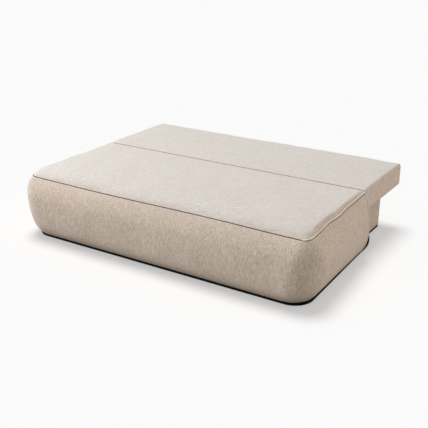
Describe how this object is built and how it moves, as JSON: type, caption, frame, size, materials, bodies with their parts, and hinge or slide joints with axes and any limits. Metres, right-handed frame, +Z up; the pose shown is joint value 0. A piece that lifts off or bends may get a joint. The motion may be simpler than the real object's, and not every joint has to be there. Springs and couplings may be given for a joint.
{
  "type": "sofa bed",
  "caption": "Sofa bed opened as a bed: a rounded pebble seat that slides forward off a rear storage base, with a flat back panel that lies down behind it.",
  "frame": {"origin": "on the floor, under the middle of the opened bed", "axes": "+Z up, +X along the bed's length, to the right seen from the front, +Y from the seat towards the back panel"},
  "size_m": [2.06, 1.445, 0.418],
  "materials": {
    "side_fabric": "matte",
    "top_fabric": "matte",
    "lining_cloth": "matte",
    "board": "matte",
    "timber": "matte",
    "slat_wood": "satin",
    "black_plastic": "matte",
    "zinc_steel": "satin",
    "black_steel": "satin",
    "wheel_rubber": "matte"
  },
  "bodies": {
    "base": {"base_side_board_left": "board", "base_side_board_right": "board", "base_front_board": "board", "base_rear_board": "board", "base_floor": "board", "base_divider": "board", "base_corner_blocks": "timber", "base_glides": "black_plastic", "base_cover": "side_fabric", "base_plinth": "black_plastic", "base_channel_left": "zinc_steel", "base_channel_right": "zinc_steel", "rear_support_pad": "side_fabric"},
    "seat": {"seat_shell": "side_fabric", "seat_piping": "side_fabric", "seat_cushion": "top_fabric", "seat_side_board_left": "board", "seat_side_board_right": "board", "seat_front_board": "board", "seat_rear_rail": "timber", "seat_centre_beam": "timber", "seat_slats": "slat_wood", "seat_rear_cover": "lining_cloth", "seat_plinth": "black_plastic", "castor_beam": "timber", "castor_brackets": "zinc_steel", "castor_axles": "zinc_steel", "slide_bar_left": "zinc_steel", "slide_bar_right": "zinc_steel", "hinge_arm_left": "black_steel", "hinge_arm_right": "black_steel", "hinge_screws": "zinc_steel"},
    "backrest": {"back_pad": "top_fabric", "back_cloth": "lining_cloth", "back_board": "board", "back_front_rail": "timber", "back_rear_rail": "timber", "back_stiles": "timber", "hinge_clevis_left": "black_steel", "hinge_clevis_right": "black_steel", "hinge_pin_left": "zinc_steel", "hinge_pin_right": "zinc_steel"},
    "wheel_1": {"castor_wheel_1": "wheel_rubber"},
    "wheel_2": {"castor_wheel_2": "wheel_rubber"},
    "wheel_3": {"castor_wheel_3": "wheel_rubber"},
    "wheel_4": {"castor_wheel_4": "wheel_rubber"}
  },
  "joints": [
    {"name": "seat_slide", "type": "slide", "parent": "base", "child": "seat", "axis": [0, 1, 0], "range_m": [0, 0.22]},
    {"name": "back_hinge", "type": "hinge", "parent": "seat", "child": "backrest", "pos_m": [0, 0.1685, 0.385], "axis": [1, 0, 0], "range_deg": [0, 78]},
    {"name": "wheel_spin_1", "type": "hinge", "parent": "seat", "child": "wheel_1", "pos_m": [-0.78, -0.5615, 0.02], "axis": [1, 0, 0], "continuous": true},
    {"name": "wheel_spin_2", "type": "hinge", "parent": "seat", "child": "wheel_2", "pos_m": [-0.26, -0.5615, 0.02], "axis": [1, 0, 0], "continuous": true},
    {"name": "wheel_spin_3", "type": "hinge", "parent": "seat", "child": "wheel_3", "pos_m": [0.26, -0.5615, 0.02], "axis": [1, 0, 0], "continuous": true},
    {"name": "wheel_spin_4", "type": "hinge", "parent": "seat", "child": "wheel_4", "pos_m": [0.78, -0.5615, 0.02], "axis": [1, 0, 0], "continuous": true}
  ],
  "couplings": [
    {"joint": "wheel_spin_1", "follows": "seat_slide", "rad_per_m": -50},
    {"joint": "wheel_spin_2", "follows": "seat_slide", "rad_per_m": -50},
    {"joint": "wheel_spin_3", "follows": "seat_slide", "rad_per_m": -50},
    {"joint": "wheel_spin_4", "follows": "seat_slide", "rad_per_m": -50}
  ]
}
